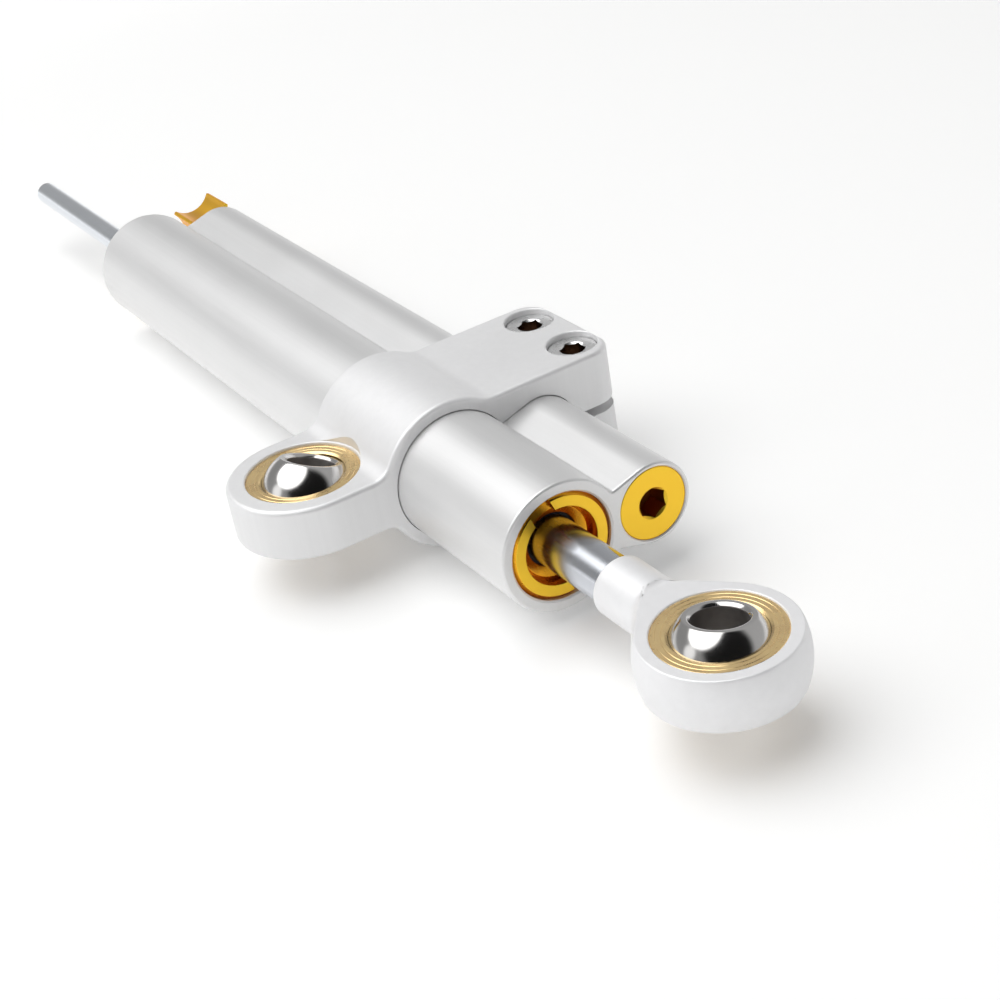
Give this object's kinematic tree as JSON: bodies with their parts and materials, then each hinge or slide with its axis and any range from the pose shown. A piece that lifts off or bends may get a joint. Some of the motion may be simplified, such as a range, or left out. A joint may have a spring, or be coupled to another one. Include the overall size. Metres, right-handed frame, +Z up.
{
  "type": "steering damper",
  "caption": "Motorcycle steering damper: through-rod hydraulic twin-barrel body in a split clamp with a spherical bearing, rod end, click knob.",
  "frame": {"origin": "centre of the clamp's spherical bearing", "axes": "+X along the rod towards the rod end, +Y from the bearing towards the barrels, +Z up, square to the clamp's top"},
  "size_m": [0.2762, 0.068, 0.0262],
  "materials": {
    "clamp_aluminium": "satin, machined, rounded edges",
    "barrel_aluminium": "satin anodised, drawn lengthwise",
    "gold_anodised": "gold anodised, satin",
    "chrome_rod": "hard chromed and polished",
    "ball_steel": "ground and polished bearing steel",
    "race_brass": "worn, turned",
    "screw_steel": "stainless",
    "blasted_steel": "bead blasted",
    "plain_steel": "turned",
    "plain_aluminium": "turned",
    "bush_bronze": "sintered",
    "seal_rubber": "matt",
    "ring_plastic": "filled low-friction plastic"
  },
  "bodies": {
    "clamp": {"clamp": "clamp_aluminium", "clamp_screws": "screw_steel", "clamp_race": "race_brass"},
    "clamp_ball": {"clamp_ball": "ball_steel"},
    "barrel": {"twin_barrel": "barrel_aluminium", "front_nut": "gold_anodised", "front_gland": "gold_anodised", "front_wiper": "seal_rubber", "front_rod_seal": "seal_rubber", "front_bush": "bush_bronze", "front_o_ring": "seal_rubber", "rear_nut": "gold_anodised", "rear_gland": "gold_anodised", "rear_wiper": "seal_rubber", "rear_rod_seal": "seal_rubber", "rear_bush": "bush_bronze", "rear_o_ring": "seal_rubber", "front_plug": "gold_anodised", "plug_o_ring": "seal_rubber", "adjuster_body": "plain_aluminium", "adjuster_o_rings": "seal_rubber", "detent_ball": "plain_steel", "detent_spring": "plain_steel"},
    "rod": {"piston_rod": "chrome_rod", "piston": "plain_aluminium", "piston_ring": "ring_plastic", "tail_rod": "plain_steel", "rod_end": "blasted_steel", "rod_end_race": "race_brass"},
    "rod_ball": {"rod_end_ball": "ball_steel"},
    "knob": {"knob": "gold_anodised", "knob_clip": "plain_steel"},
    "needle": {"needle": "plain_steel"},
    "float": {"float_piston": "plain_aluminium", "float_o_ring": "seal_rubber"}
  },
  "joints": [
    {"name": "clamp_ball_tilt", "type": "hinge", "parent": "clamp", "child": "clamp_ball", "pos_m": [0, 0, 0], "axis": [0.9563, 0.2924, 0], "range_deg": [0, 47]},
    {"name": "body_in_clamp", "type": "slide", "parent": "clamp", "child": "barrel", "axis": [1, 0, 0], "range_m": [-0.031, 0.1]},
    {"name": "rod_stroke", "type": "slide", "parent": "barrel", "child": "rod", "axis": [1, 0, 0], "range_m": [-0.013, 0.051]},
    {"name": "rod_ball_tilt", "type": "hinge", "parent": "rod", "child": "rod_ball", "pos_m": [0.0833, 0.0213, 0], "axis": [0.7547, 0.6561, 0], "range_deg": [-10, 30]},
    {"name": "knob_turn", "type": "hinge", "parent": "barrel", "child": "knob", "pos_m": [-0.116, 0.0383, 0], "axis": [1, 0, 0], "range_deg": [-270, 450]},
    {"name": "needle_slide", "type": "slide", "parent": "barrel", "child": "needle", "axis": [1, 0, 0], "range_m": [-0.00037, 0.00062]},
    {"name": "float_slide", "type": "slide", "parent": "barrel", "child": "float", "axis": [1, 0, 0], "range_m": [-0.014, 0.0055]}
  ],
  "couplings": [
    {"joint": "knob_turn", "follows": "needle_slide", "rad_per_m": 12566}
  ]
}
